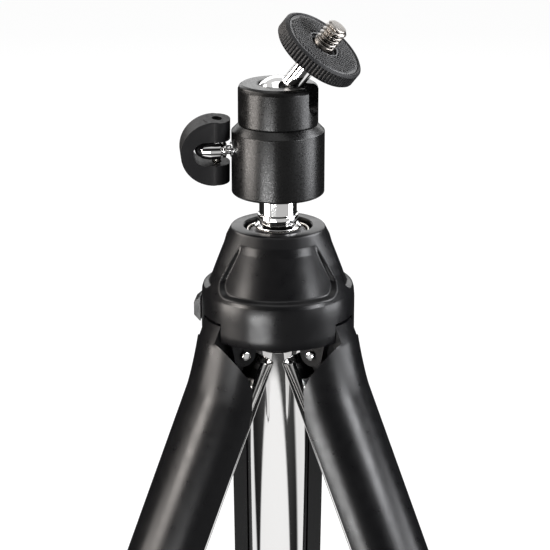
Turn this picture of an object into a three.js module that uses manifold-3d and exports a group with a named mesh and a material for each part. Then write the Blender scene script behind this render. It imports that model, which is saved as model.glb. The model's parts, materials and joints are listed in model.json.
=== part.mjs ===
// A tabletop tripod with a small ball head: three half-round legs with telescopic tubes fold
// about pins under a plastic crown, and a tilting ball stem carries the camera platform.
// Millimetres, +Z up. The floor is z = 0 and the group stands centred on its own footprint.
import * as THREE from "three";
import { mergeVertices } from "three/addons/utils/BufferGeometryUtils.js";
import Module from "manifold-3d";

const manifold = await Module();
manifold.setup();

// ---- Driving dimensions -------------------------------------------------------------------
const GAP = 0.3; // clearance between neighbouring pieces
const DEG = Math.PI / 180;

// Heights in the hub frame, whose z = 0 is the flat top of the crown.
const BARREL_BOTTOM = 9.4;
const BARREL_HEIGHT = 20.1;
const COLLAR_HEIGHT = 11.1;
const BARREL_TOP = BARREL_BOTTOM + BARREL_HEIGHT;
const COLLAR_TOP = BARREL_TOP + COLLAR_HEIGHT;
const BARREL_RADIUS = 13;
const COLLAR_RADIUS = 11.15;
const SPIGOT_RADIUS = 9;
const SPIGOT_DEPTH = 4;

// Ball head
const BALL_RADIUS = 7;
const BALL_Z = COLLAR_TOP - 4.9;
const SOCKET_RADIUS = BALL_RADIUS + GAP;
const MOUTH_RADIUS = 5.5;
const SLOT_HALF_WIDTH = 3.3;
const TILT = 39 * DEG; // the stem leans into the collar's slot
const TILT_AZIMUTH = -24 * DEG;
const NECK_RADIUS = 2.85;
const PLATFORM_START = 17.4; // from the ball centre along the stem
const PLATFORM_TOP = 22.0;
const PLATFORM_RADIUS = 12.6;
const PAD_RADIUS = 11.1;
const PAD_THICKNESS = 0.8;
const STUD_RADIUS = 3.15; // 1/4"-20 camera thread
const THREAD_PITCH = 1.27;
const STUD_END = 28.4;
const SEAT_RADIUS = 6.9;
const SEAT_TOP = -4.3; // from the ball centre

// Lock screw and its folding bail, on an axis square to the barrel
const LOCK_AZIMUTH = 186 * DEG;
const LOCK_Z = COLLAR_TOP - 18.4;
const LOCK_RADIUS = 2.2;
const LOCK_INNER_END = 8.8; // from the barrel axis
const LOCK_NECK_RADIUS = 1.4;
const LOCK_RING_RADIUS = 2.3;
const LOCK_WAIST_RADIUS = 1.9;
const LOCK_HEAD_RADIUS = 2.8;
const LOCK_HEAD_END = 23.2;
const PRESSURE_PIN = { start: 2, tip: 0.5, cone: 4, end: 8.5 };
const BAIL_PIN_AT = 17.1; // from the barrel axis
const BAIL_LEAN = -9 * DEG;
const BAIL_OUTER = 9.5;
const BAIL_ROUND_AT = 0.7; // centre of the outer round, outward from the pin
const BAIL_OPENING = 3.5; // half height of the opening round the screw's head
const BAIL_OPENING_AT = 3.3; // centre of the opening's round end
const BAIL_HALF_WIDTH = 3.5;
const BAIL_BOSS_RADIUS = 3.7;
const BAIL_PIN_RADIUS = 1.1;

// Post that carries the head and turns in the crown
const POST_RADIUS = 5.3;
const POST_SHOULDER_RADIUS = 5.7;
const POST_FLANGE_RADIUS = 6.6;
const POST_SPIGOT_RADIUS = 4.2;
const BUSH_RADIUS = 5.9;
const RECESS_RADIUS = 9.6;
const RECESS_DEPTH = 2.6;
const BOSS_RADIUS = 9.4;
const BOSS_BOTTOM = -27;
const NUT_HEIGHT = 3.2;
const NUT_RADIUS = 7.2; // over the corners
const CAP_DEPTH = 4.2; // hub cap, below the boss
const CAP_FLOOR = 2.4; // its inner face, below the boss
const CAP_BORE = 7.8;

// Crown
const SKIRT_RADIUS = 21.8;
const SKIRT_BOTTOM = -30.3;
const CROWN_PROFILE = [
  [12.7, 0], [13.4, -0.7], [14.5, -3], [15.2, -5.3], [18, -12.2], [18.7, -13.8],
  [20.9, -16], [SKIRT_RADIUS, -18.8],
]; // radius, height, top to shoulder
const SKIRT_WALL = 3.2;
const LEG_SLOT_HALF = 4.8;
const LEG_SLOT_TOP = -24.7;
const LUG_HALF = 7.4; // outer face of each hinge lug from the leg's middle plane
const LUG_RADIUS = 3.4;
const LUG_SPREAD = 2; // how far the lug widens outward where it joins the skirt
const STRAP_LUG_AZIMUTH = 174 * DEG;
const STRAP_LUG_DEPTH = 1.8;

// Legs, in a frame at the hinge pin: x outward, z up along the leg
const LEG_AZIMUTHS = { rear: 90 * DEG, left: 210 * DEG, right: 330 * DEG };
const PIVOT_RADIUS = 15;
const PIVOT_Z = -34.2;
const SPLAY = 23 * DEG;
const TUBE_X = -3.85; // tube axis from the pin
const TUBE_RADIUS = 9.5;
const TUBE_WALL = 0.8;
const TUBE_TOP = -8;
const TUBE_TONGUE_TOP = -0.5; // the tube's inner side carries on up to here
const TUBE_TONGUE_X = -5;
const SHELL_X = -6.45; // centre of the shell's outer round
const SHELL_RADIUS = 14;
const SHELL_RIM_X = -5.15;
const SHELL_SHOULDER = 0.4; // top of the shell beside its tongue
const SHELL_END = -123.5;
const SHELL_FLARE = 2.2; // how far the shell's top stands out
const FLARE_LENGTH = 15;
const TONGUE_HALF = LEG_SLOT_HALF - GAP;
const TONGUE_TOP = 6;
const EYE_RADIUS = 3.9;
const PIN_RADIUS = 0.9;
const PIN_HEAD_RADIUS = 1.3;
const PIN_HEAD_HEIGHT = 0.9;
const PLUG_SCREW_RADIUS = 1.3;
const PLUG_SCREW_HEAD = 2.3;
const PLUG_SCREW_X = 2;
const CAP_END = -131;
const EXTENSION_RADIUS = 8.2;
const EXTENSION_WALL = 0.7;
const EXTENSION_TOP = -50;
const EXTENSION_END = -133.4;
const FOOT_AXIS_END = -139; // where the foot's sole crosses the tube axis
const FOOT_RADIUS = 9.4;

const CROWN_HEIGHT = -PIVOT_Z - TUBE_X * Math.sin(SPLAY) - FOOT_AXIS_END * Math.cos(SPLAY);

// ---- Materials ----------------------------------------------------------------------------
function finish(color, roughness, metalness) {
  return new THREE.MeshStandardMaterial({ color, roughness, metalness });
}
const chrome = () => finish(0xd8d8da, 0.08, 1);
const steel = () => finish(0xb8b4ac, 0.3, 1);
const blackPaint = () => finish(0x1b1a1b, 0.35, 0.3);
const blackPlastic = () => finish(0x19191b, 0.45, 0);
const matteBlack = () => finish(0x141416, 0.6, 0);
const rubber = () => finish(0x151515, 0.85, 0);
const nylon = () => finish(0x2c2c2e, 0.6, 0);

// ---- Geometry helpers ---------------------------------------------------------------------
// A closed [radius, height] profile, anticlockwise, turned about Z.
function turned(profile, segments = 20) {
  const points = [...profile, profile[0]].map(([r, z]) => new THREE.Vector2(r, z));
  return new THREE.LatheGeometry(points, segments).rotateX(Math.PI / 2);
}

function rod(radius, from, to, segments = 16) {
  return turned([[0, from], [radius, from], [radius, to], [0, to]], segments);
}

function ring(outer, inner, from, to, segments = 24) {
  return turned([[inner, from], [outer, from], [outer, to], [inner, to]], segments);
}

function block(sizeX, sizeY, sizeZ, x, y, z) {
  return new THREE.BoxGeometry(sizeX, sizeY, sizeZ).translate(x, y, z);
}

// An outline of [x, z] points, made into a plate centred on the plane y = 0.
function plate(outline, halfWidth) {
  const shape = new THREE.Shape(outline.map(([x, z]) => new THREE.Vector2(x, z)));
  const geometry = new THREE.ExtrudeGeometry(shape, { depth: 2 * halfWidth, bevelEnabled: false });
  return geometry.translate(0, 0, -halfWidth).rotateX(Math.PI / 2);
}

function arc(x, z, radius, fromDeg, toDeg, steps) {
  return Array.from({ length: steps + 1 }, (_, i) => {
    const angle = (fromDeg + ((toDeg - fromDeg) * i) / steps) * DEG;
    return [x + radius * Math.cos(angle), z + radius * Math.sin(angle)];
  });
}

function solid(geometry) {
  const bare = geometry.index ? geometry.toNonIndexed() : geometry.clone();
  bare.deleteAttribute("normal");
  bare.deleteAttribute("uv");
  const merged = mergeVertices(bare, 1e-4);
  const mesh = new manifold.Mesh({
    numProp: 3,
    vertProperties: new Float32Array(merged.attributes.position.array),
    triVerts: new Uint32Array(merged.index.array),
  });
  return new manifold.Manifold(mesh);
}

function geometryOf(body) {
  const mesh = body.getMesh();
  const geometry = new THREE.BufferGeometry();
  geometry.setAttribute("position", new THREE.BufferAttribute(mesh.vertProperties, 3));
  geometry.setIndex(new THREE.BufferAttribute(mesh.triVerts, 1));
  return geometry;
}

// The first geometry, with more joined on and others cut away.
function carve(base, joined, cut) {
  let body = solid(base);
  for (const geometry of joined) body = body.add(solid(geometry));
  for (const geometry of cut) body = body.subtract(solid(geometry));
  return geometryOf(body);
}

function common(a, b) {
  return geometryOf(solid(a).intersect(solid(b)));
}

function place(parent, name, geometry, material) {
  const mesh = new THREE.Mesh(geometry, material);
  mesh.name = name;
  parent.add(mesh);
}

// ---- Platform and ball stem: origin at the ball centre, z along the stem ------------------
function ballStemGeometry() {
  const meeting = Math.asin(NECK_RADIUS / BALL_RADIUS) / DEG;
  const ball = arc(0, 0, BALL_RADIUS, -90, 90 - meeting, 9);
  const neck = [[NECK_RADIUS, PLATFORM_START - GAP], [0, PLATFORM_START - GAP]];
  return turned([...ball, ...neck]);
}

function studGeometry() {
  const root = STUD_RADIUS - 0.65;
  const profile = [[0, PLATFORM_START], [STUD_RADIUS, PLATFORM_START]];
  for (let z = PLATFORM_TOP + 0.4; z < STUD_END - 1.2; z += THREAD_PITCH) {
    profile.push([STUD_RADIUS, z], [root, z + THREAD_PITCH / 2]);
  }
  profile.push([STUD_RADIUS - 0.3, STUD_END - 0.9], [STUD_RADIUS - 1, STUD_END], [0, STUD_END]);
  return turned(profile, 16);
}

function platformDiscGeometry() {
  const edge = 0.6;
  const bore = STUD_RADIUS + GAP;
  const recess = PLATFORM_TOP - PAD_THICKNESS - GAP;
  return turned([
    [bore, PLATFORM_START],
    [PLATFORM_RADIUS - 2 * edge, PLATFORM_START],
    [PLATFORM_RADIUS, PLATFORM_START + edge],
    [PLATFORM_RADIUS, PLATFORM_TOP - edge],
    [PLATFORM_RADIUS - edge, PLATFORM_TOP - GAP],
    [PAD_RADIUS + GAP, PLATFORM_TOP - GAP],
    [PAD_RADIUS + GAP, recess],
    [bore, recess],
  ], 32);
}

function addPlatform(parent) {
  const bore = STUD_RADIUS + GAP;
  place(parent, "ball_stem", ballStemGeometry(), chrome());
  place(parent, "camera_stud", studGeometry(), steel());
  place(parent, "platform_disc", platformDiscGeometry(), matteBlack());
  const pad = ring(PAD_RADIUS, bore + 0.5, PLATFORM_TOP - PAD_THICKNESS, PLATFORM_TOP, 32);
  place(parent, "platform_pad", pad, rubber());
}

// ---- Ball head housing: hub frame ---------------------------------------------------------
function collarGeometry() {
  const chamfer = 1.1;
  const socketTop = Math.acos(MOUTH_RADIUS / SOCKET_RADIUS) / DEG;
  const socket = arc(0, BALL_Z, SOCKET_RADIUS, 0, socketTop, 4).reverse();
  const spigotEnd = BARREL_TOP - SPIGOT_DEPTH;
  const body = turned([
    [MOUTH_RADIUS, COLLAR_TOP],
    ...socket,
    [SOCKET_RADIUS, spigotEnd],
    [SPIGOT_RADIUS, spigotEnd],
    [SPIGOT_RADIUS, BARREL_TOP],
    [COLLAR_RADIUS, BARREL_TOP],
    [COLLAR_RADIUS, COLLAR_TOP - chamfer],
    [COLLAR_RADIUS - chamfer, COLLAR_TOP],
  ], 32);
  const outline = [
    ...arc(0, BALL_Z, SLOT_HALF_WIDTH, 180, 360, 8),
    [SLOT_HALF_WIDTH, COLLAR_TOP + 2],
    [-SLOT_HALF_WIDTH, COLLAR_TOP + 2],
  ];
  const reach = 7;
  const slot = plate(outline, reach).translate(0, -reach - 1, 0);
  return carve(body, [], [slot.rotateZ(Math.PI / 2 + TILT_AZIMUTH)]);
}

function barrelGeometry() {
  const chamfer = 1.9;
  const fillet = 0.4;
  const top = BARREL_TOP - GAP;
  const recess = top - SPIGOT_DEPTH;
  const wellBottom = LOCK_Z - 3.4;
  const body = turned([
    [0, BARREL_BOTTOM],
    [BARREL_RADIUS - fillet, BARREL_BOTTOM],
    [BARREL_RADIUS, BARREL_BOTTOM + fillet],
    [BARREL_RADIUS, top - chamfer],
    [BARREL_RADIUS - chamfer, top],
    [SPIGOT_RADIUS + GAP, top],
    [SPIGOT_RADIUS + GAP, recess],
    [SEAT_RADIUS + GAP, recess],
    [SEAT_RADIUS + GAP, wellBottom],
    [0, wellBottom],
  ], 32);
  const screwBore = rod(LOCK_RADIUS + GAP, 0, BARREL_RADIUS + 1).rotateY(Math.PI / 2);
  screwBore.rotateZ(LOCK_AZIMUTH).translate(0, 0, LOCK_Z);
  const postBore = rod(POST_SPIGOT_RADIUS + GAP, BARREL_BOTTOM - 1, BARREL_BOTTOM + 5);
  return carve(body, [], [screwBore, postBore]);
}

function seatGeometry() {
  const bottom = LOCK_Z + LOCK_RADIUS + GAP;
  const rim = Math.asin(SEAT_TOP / SOCKET_RADIUS) / DEG;
  const cup = arc(0, BALL_Z, SOCKET_RADIUS, -90, rim, 4).reverse();
  return turned([
    [0, bottom], [SEAT_RADIUS, bottom], [SEAT_RADIUS, BALL_Z + SEAT_TOP], ...cup,
  ]);
}

function addHousing(parent) {
  place(parent, "collar", collarGeometry(), blackPaint());
  place(parent, "barrel", barrelGeometry(), blackPaint());
  place(parent, "ball_seat", seatGeometry(), nylon());
}

// ---- Lock: z outward along the screw, from the barrel axis; x points down -----------------
function lockScrewGeometry() {
  const body = turned([
    [0, LOCK_INNER_END],
    [LOCK_RADIUS, LOCK_INNER_END],
    [LOCK_RADIUS, BARREL_RADIUS],
    [LOCK_NECK_RADIUS, BARREL_RADIUS + 0.2],
    [LOCK_NECK_RADIUS, BARREL_RADIUS + 1.6],
    [LOCK_RING_RADIUS, BARREL_RADIUS + 1.8],
    [LOCK_RING_RADIUS, BARREL_RADIUS + 2.5],
    [LOCK_WAIST_RADIUS, BARREL_RADIUS + 2.7],
    [LOCK_WAIST_RADIUS, BARREL_RADIUS + 3],
    [LOCK_HEAD_RADIUS, BARREL_RADIUS + 3.2],
    [LOCK_HEAD_RADIUS, LOCK_HEAD_END - 3.8],
    [LOCK_HEAD_RADIUS - 0.4, LOCK_HEAD_END - 2.2],
    [LOCK_HEAD_RADIUS - 1.4, LOCK_HEAD_END - 0.5],
    [0, LOCK_HEAD_END],
  ], 16);
  const hole = rod(BAIL_PIN_RADIUS + GAP, -4, 4, 12).rotateY(Math.PI / 2);
  return carve(body, [], [hole.rotateZ(BAIL_LEAN).translate(0, 0, BAIL_PIN_AT)]);
}

// The bail's own frame: origin on its pin, z outward, x along the pin.
function bailGeometry() {
  const bossEnd = BAIL_OUTER - 0.2;
  const round = arc(0, BAIL_ROUND_AT, BAIL_OUTER, 180, 0, 14);
  const outer = [[-bossEnd, 0], ...round, [bossEnd, 0]];
  const end = arc(0, BAIL_OPENING_AT, BAIL_OPENING, 0, 180, 8);
  const opening = [[BAIL_OPENING, -5], ...end, [-BAIL_OPENING, -5]];
  const bosses = rod(BAIL_BOSS_RADIUS, -bossEnd, bossEnd, 20).rotateY(Math.PI / 2);
  const pinHole = rod(BAIL_PIN_RADIUS + GAP, -12, 12, 12).rotateY(Math.PI / 2);
  return carve(
    plate(outer, BAIL_HALF_WIDTH), [bosses], [plate(opening, 6), pinHole],
  );
}

function addLock(parent) {
  const lock = new THREE.Group();
  lock.position.z = LOCK_Z;
  lock.rotation.set(0, Math.PI / 2, 0);
  const turn = new THREE.Group();
  turn.rotation.z = LOCK_AZIMUTH;
  turn.add(lock);
  parent.add(turn);
  const { start, tip, cone, end } = PRESSURE_PIN;
  const pressurePin = turned([
    [0, start], [tip, start], [LOCK_RADIUS, start + cone], [LOCK_RADIUS, end], [0, end],
  ]);
  place(lock, "pressure_pin", pressurePin, steel());
  place(lock, "lock_screw", lockScrewGeometry(), chrome());
  const bail = new THREE.Group();
  bail.position.z = BAIL_PIN_AT;
  bail.rotation.z = BAIL_LEAN;
  lock.add(bail);
  const pin = rod(BAIL_PIN_RADIUS, -BAIL_OUTER + 1, BAIL_OUTER - 1, 12).rotateY(Math.PI / 2);
  place(bail, "bail_pin", pin, steel());
  place(bail, "lock_bail", bailGeometry(), matteBlack());
}

// ---- Post and its bearing in the crown: hub frame -----------------------------------------
function addPost(parent) {
  const stub = BARREL_BOTTOM + 4.7;
  const groove = 5.2;
  const threadEnd = BOSS_BOTTOM - 1;
  const post = turned([
    [0, threadEnd],
    [POST_SPIGOT_RADIUS, threadEnd],
    [POST_SPIGOT_RADIUS, -1],
    [POST_FLANGE_RADIUS - 0.4, -1],
    [POST_FLANGE_RADIUS, -0.6],
    [POST_FLANGE_RADIUS, 0],
    [POST_FLANGE_RADIUS - 0.9, 0.6],
    [groove, 0.9],
    [groove, 1.3],
    [POST_SHOULDER_RADIUS, 1.5],
    [POST_SHOULDER_RADIUS, 3.4],
    [POST_RADIUS, 3.7],
    [POST_RADIUS, BARREL_BOTTOM - GAP],
    [POST_SPIGOT_RADIUS, BARREL_BOTTOM - GAP],
    [POST_SPIGOT_RADIUS, stub],
    [0, stub],
  ]);
  place(parent, "post", post, chrome());
  const nutBottom = threadEnd + 0.4;
  const hexagon = rod(NUT_RADIUS, nutBottom, nutBottom + NUT_HEIGHT, 6);
  const thread = rod(POST_SPIGOT_RADIUS + GAP, nutBottom - 1, nutBottom + NUT_HEIGHT + 1);
  place(parent, "post_nut", carve(hexagon, [], [thread]), steel());
}

function addBearing(parent) {
  const seat = -RECESS_DEPTH + GAP;
  const bush = turned([
    [POST_SPIGOT_RADIUS + GAP, BOSS_BOTTOM + 5],
    [BUSH_RADIUS, BOSS_BOTTOM + 5],
    [BUSH_RADIUS, seat],
    [RECESS_RADIUS - 1.6, seat],
    [RECESS_RADIUS - 1.6, seat + 0.9],
    [POST_SPIGOT_RADIUS + GAP, seat + 0.9],
  ]);
  place(parent, "post_bush", bush, nylon());
  const snapRing = ring(RECESS_RADIUS - GAP, RECESS_RADIUS - 1.3, seat, seat + 1.1);
  place(parent, "retaining_ring", snapRing, steel());
}

// ---- Crown: hub frame ---------------------------------------------------------------------
function crownBody() {
  const inner = SKIRT_RADIUS - SKIRT_WALL;
  return turned([
    [BUSH_RADIUS + GAP, -RECESS_DEPTH],
    [BUSH_RADIUS + GAP, BOSS_BOTTOM + 5],
    [8, BOSS_BOTTOM + 5],
    [8, BOSS_BOTTOM],
    [BOSS_RADIUS, BOSS_BOTTOM],
    [BOSS_RADIUS, -8],
    [12.6, -8],
    [inner - 1, -19],
    [inner, -23],
    [inner, SKIRT_BOTTOM],
    [SKIRT_RADIUS, SKIRT_BOTTOM],
    ...[...CROWN_PROFILE].reverse(),
    [RECESS_RADIUS, 0],
    [RECESS_RADIUS, -RECESS_DEPTH],
  ], 32);
}

function lugGeometry(side) {
  const thickness = LUG_HALF - LEG_SLOT_HALF;
  const outline = [
    ...arc(PIVOT_RADIUS, PIVOT_Z, LUG_RADIUS, 180, 360, 8),
    [PIVOT_RADIUS + LUG_RADIUS + LUG_SPREAD, LEG_SLOT_TOP],
    [PIVOT_RADIUS - LUG_RADIUS - 2.5, LEG_SLOT_TOP + 3],
    [PIVOT_RADIUS - LUG_RADIUS - 2.5, PIVOT_Z + 8],
  ];
  return plate(outline, thickness / 2).translate(0, side * (LEG_SLOT_HALF + thickness / 2), 0);
}

function crownGeometry() {
  const joined = [];
  const cut = [];
  for (const azimuth of Object.values(LEG_AZIMUTHS)) {
    for (const side of [-1, 1]) joined.push(lugGeometry(side).rotateZ(azimuth));
    const slotHeight = LEG_SLOT_TOP - SKIRT_BOTTOM + 10;
    const slot = block(14, 2 * LEG_SLOT_HALF, slotHeight, 17, 0, LEG_SLOT_TOP - slotHeight / 2);
    const pinBore = rod(PIN_RADIUS + GAP, -12, 12, 12).rotateX(Math.PI / 2);
    pinBore.translate(PIVOT_RADIUS, 0, PIVOT_Z);
    cut.push(slot.rotateZ(azimuth), pinBore.rotateZ(azimuth));
  }
  return carve(crownBody(), joined, cut);
}

function strapLugGeometry() {
  const start = SKIRT_RADIUS + GAP;
  const end = start + STRAP_LUG_DEPTH;
  return plate([[start, -21.4], [end, -22.8], [end, -26.6], [start, -28.6]], 3.4);
}

function addCrown(parent) {
  place(parent, "crown", crownGeometry(), blackPlastic());
  const radius = BOSS_RADIUS - 0.4;
  const lowest = BOSS_BOTTOM - CAP_DEPTH;
  const cap = turned([
    [0, lowest], [radius - 2.5, lowest], [radius, lowest + 1.2],
    [radius, BOSS_BOTTOM - GAP], [CAP_BORE, BOSS_BOTTOM - GAP],
    [CAP_BORE, BOSS_BOTTOM - CAP_FLOOR], [0, BOSS_BOTTOM - CAP_FLOOR],
  ]);
  place(parent, "hub_cap", cap, blackPlastic());
  place(parent, "strap_lug", strapLugGeometry().rotateZ(STRAP_LUG_AZIMUTH), blackPlastic());
}

// ---- Legs: pin frame ----------------------------------------------------------------------
function shellSideOutline() {
  return [
    [12, SHELL_SHOULDER], [8.7, SHELL_SHOULDER], [0.8, -5.9], [-0.4, -7.4], [-4.5, -17],
    [SHELL_RIM_X, -19.5], [SHELL_RIM_X, SHELL_END], [12, SHELL_END],
  ];
}

// The round of the shell and its tongue, a cylinder whose top rows lean outward.
function shellRound() {
  const rows = [TONGUE_TOP + 1, 0, -3, -6, -9, -12, -FLARE_LENGTH, SHELL_END];
  const last = rows.length - 1;
  const round = new THREE.CylinderGeometry(SHELL_RADIUS, SHELL_RADIUS, last, 28, last);
  round.translate(0, -last / 2, 0).rotateX(Math.PI / 2);
  const position = round.getAttribute("position");
  for (let i = 0; i < position.count; i++) {
    const z = rows[Math.round(-position.getZ(i))];
    const rise = Math.min(1, Math.max(0, (FLARE_LENGTH + z) / FLARE_LENGTH));
    position.setZ(i, z);
    position.setX(i, position.getX(i) + SHELL_X + SHELL_FLARE * rise ** 1.4);
  }
  return round;
}

function tongueOutline() {
  return [
    ...arc(0, 0, EYE_RADIUS, 110, 215, 8),
    [-2.6, TUBE_TOP + GAP],
    [12, TUBE_TOP + GAP],
    [12, TONGUE_TOP - 1.2],
    [9.6, TONGUE_TOP - 0.6],
    [8.4, TONGUE_TOP],
    [4.6, TONGUE_TOP],
  ];
}

function legShellGeometry() {
  const round = common(shellRound(), plate(shellSideOutline(), SHELL_RADIUS + 1));
  const tongue = common(shellRound(), plate(tongueOutline(), TONGUE_HALF));
  const bore = rod(TUBE_RADIUS + GAP, SHELL_END - 1, TUBE_TOP + GAP, 24).translate(TUBE_X, 0, 0);
  const eye = rod(PIN_RADIUS + GAP, -LUG_HALF, LUG_HALF, 12).rotateX(Math.PI / 2);
  const screwHole = rod(PLUG_SCREW_RADIUS + GAP, TUBE_TOP - 1, TUBE_TOP + 2.6, 12);
  screwHole.translate(PLUG_SCREW_X, 0, 0);
  return carve(round, [tongue], [bore, eye, screwHole]);
}

function hingePinGeometry() {
  const inner = LUG_HALF + GAP;
  const outer = inner + PIN_HEAD_HEIGHT;
  return turned([
    [0, -outer], [PIN_HEAD_RADIUS, -outer], [PIN_HEAD_RADIUS, -inner], [PIN_RADIUS, -inner],
    [PIN_RADIUS, inner], [PIN_HEAD_RADIUS, inner], [PIN_HEAD_RADIUS, outer], [0, outer],
  ], 16).rotateX(Math.PI / 2);
}

// The chrome tube; above the shell only its inner side carries on.
function legTubeGeometry() {
  const tube = ring(TUBE_RADIUS, TUBE_RADIUS - TUBE_WALL, SHELL_END, TUBE_TONGUE_TOP);
  const outerSide = block(20, 30, 10, TUBE_TONGUE_X + 10, 0, TUBE_TOP + 5);
  return carve(tube.translate(TUBE_X, 0, 0), [], [outerSide]);
}

function tubePlugGeometry() {
  const radius = TUBE_RADIUS - TUBE_WALL - GAP;
  const plug = rod(radius, TUBE_TOP - 14, TUBE_TOP - GAP, 20).translate(TUBE_X, 0, 0);
  const through = rod(PLUG_SCREW_RADIUS + GAP, TUBE_TOP - 20, TUBE_TOP + 2, 12);
  const sink = rod(PLUG_SCREW_HEAD + GAP, TUBE_TOP - 20, TUBE_TOP - 10, 12);
  const holes = [through, sink].map((hole) => hole.translate(PLUG_SCREW_X, 0, 0));
  return carve(plug, [], holes);
}

function plugScrewGeometry() {
  const seat = TUBE_TOP - 10 - GAP;
  return turned([
    [0, seat - 1.6], [PLUG_SCREW_HEAD, seat - 1.6], [PLUG_SCREW_HEAD, seat],
    [PLUG_SCREW_RADIUS, seat], [PLUG_SCREW_RADIUS, TUBE_TOP + 2.2], [0, TUBE_TOP + 2.2],
  ], 12).translate(PLUG_SCREW_X, 0, 0);
}

function endCapGeometry() {
  const top = SHELL_END - GAP;
  const height = top - CAP_END;
  const middle = (top + CAP_END) / 2;
  const round = rod(SHELL_RADIUS, CAP_END, top, 28).translate(SHELL_X, 0, 0);
  const outerHalf = block(20, 40, height + 2, SHELL_RIM_X + 10, 0, middle);
  const sleeve = rod(TUBE_RADIUS, CAP_END, top, 24).translate(TUBE_X, 0, 0);
  const bore = rod(EXTENSION_RADIUS + GAP, CAP_END - 1, top + 1, 20).translate(TUBE_X, 0, 0);
  return carve(common(round, outerHalf), [sleeve], [bore]);
}

function footGeometry() {
  const top = CAP_END - GAP;
  const lowest = FOOT_AXIS_END - 8;
  const sleeve = EXTENSION_RADIUS + GAP;
  const plug = EXTENSION_RADIUS - EXTENSION_WALL - GAP;
  const body = turned([
    [0, lowest], [FOOT_RADIUS, lowest], [FOOT_RADIUS, top - 0.8], [FOOT_RADIUS - 0.6, top],
    [sleeve, top], [sleeve, EXTENSION_END - GAP], [plug, EXTENSION_END - GAP],
    [plug, EXTENSION_END + 10], [0, EXTENSION_END + 10],
  ], 24);
  const below = block(60, 60, 30, 0, 0, -15).rotateY(SPLAY).translate(0, 0, FOOT_AXIS_END);
  return carve(body, [], [below]).translate(TUBE_X, 0, 0);
}

function extensionPlugGeometry() {
  const radius = TUBE_RADIUS - TUBE_WALL - GAP;
  const spigot = EXTENSION_RADIUS - EXTENSION_WALL - GAP;
  return turned([
    [0, EXTENSION_TOP - 8], [spigot, EXTENSION_TOP - 8], [spigot, EXTENSION_TOP + GAP],
    [radius, EXTENSION_TOP + GAP], [radius, EXTENSION_TOP + 5], [0, EXTENSION_TOP + 5],
  ]).translate(TUBE_X, 0, 0);
}

function addLeg(parent, side, azimuth) {
  const spoke = new THREE.Group();
  spoke.rotation.z = azimuth;
  parent.add(spoke);
  const hinge = new THREE.Group();
  hinge.position.set(PIVOT_RADIUS, 0, PIVOT_Z);
  spoke.add(hinge);
  place(hinge, `hinge_pin_${side}`, hingePinGeometry(), chrome());
  const leg = new THREE.Group();
  leg.rotation.y = -SPLAY;
  hinge.add(leg);
  const extension = ring(
    EXTENSION_RADIUS, EXTENSION_RADIUS - EXTENSION_WALL, EXTENSION_END, EXTENSION_TOP, 20,
  );
  place(leg, `leg_shell_${side}`, legShellGeometry(), blackPlastic());
  place(leg, `leg_tube_${side}`, legTubeGeometry(), chrome());
  place(leg, `tube_plug_${side}`, tubePlugGeometry(), nylon());
  place(leg, `plug_screw_${side}`, plugScrewGeometry(), steel());
  place(leg, `leg_end_cap_${side}`, endCapGeometry(), blackPlastic());
  place(leg, `extension_tube_${side}`, extension.translate(TUBE_X, 0, 0), chrome());
  place(leg, `extension_plug_${side}`, extensionPlugGeometry(), nylon());
  place(leg, `foot_${side}`, footGeometry(), rubber());
}

// ---- Assembly -----------------------------------------------------------------------------
// How far the hub stands in front of the footprint's centre: the rear foot is at the full
// reach behind it, the front feet at half of it in front.
function hubOffset() {
  const reach = PIVOT_RADIUS + TUBE_X * Math.cos(SPLAY) - FOOT_AXIS_END * Math.sin(SPLAY);
  return reach / 4;
}

const hub = new THREE.Group();
hub.position.set(0, -hubOffset(), CROWN_HEIGHT);
addHousing(hub);
addLock(hub);
addPost(hub);
addBearing(hub);
addCrown(hub);
for (const [side, azimuth] of Object.entries(LEG_AZIMUTHS)) addLeg(hub, side, azimuth);

const stem = new THREE.Group();
stem.position.z = BALL_Z;
stem.rotation.set(0, TILT, TILT_AZIMUTH, "ZYX");
addPlatform(stem);
hub.add(stem);

const tripod = new THREE.Group();
tripod.add(hub);

export default tripod;
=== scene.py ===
"""A black and chrome tabletop tripod with a small ball head, on a pale floor.

Each piece is modelled in millimetres in the frame of the joint that it belongs to, and is then
placed in the row frame, in metres. Heights in the hub frame start at the crown's flat top, and
a leg's frame has its origin on the hinge pin, x outward and z up along the leg.
"""
import json
import math

import bmesh
import bpy
import numpy as np
from mathutils import Matrix, Vector


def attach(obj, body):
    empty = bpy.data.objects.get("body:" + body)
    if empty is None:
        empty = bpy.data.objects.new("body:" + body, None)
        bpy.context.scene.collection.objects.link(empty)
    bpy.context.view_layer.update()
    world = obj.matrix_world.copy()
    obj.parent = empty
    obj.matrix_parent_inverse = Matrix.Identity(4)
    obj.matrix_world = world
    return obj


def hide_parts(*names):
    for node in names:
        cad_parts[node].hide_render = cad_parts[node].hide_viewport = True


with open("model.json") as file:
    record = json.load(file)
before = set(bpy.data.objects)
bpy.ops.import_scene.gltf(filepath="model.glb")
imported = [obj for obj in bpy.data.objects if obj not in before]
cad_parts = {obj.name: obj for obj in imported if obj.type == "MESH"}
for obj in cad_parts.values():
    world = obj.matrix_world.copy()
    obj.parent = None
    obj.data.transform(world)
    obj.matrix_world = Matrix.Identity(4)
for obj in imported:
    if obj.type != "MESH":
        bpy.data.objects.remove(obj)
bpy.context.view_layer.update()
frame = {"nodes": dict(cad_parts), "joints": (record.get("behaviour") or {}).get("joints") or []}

MM = 0.001
TAU = 2 * math.pi
JOINTS = {joint["name"]: joint for joint in frame["joints"]}
LEGS = ("rear", "left", "right")


# ---- Frames -------------------------------------------------------------------------------
def axes_at(origin, x, y, z):
    """Millimetres in a local frame with these axes, to metres in the row frame."""
    turn = Matrix((x, y, z)).transposed().to_4x4()
    return Matrix.Translation(Vector(origin)) @ turn @ Matrix.Scale(MM, 4)


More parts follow.
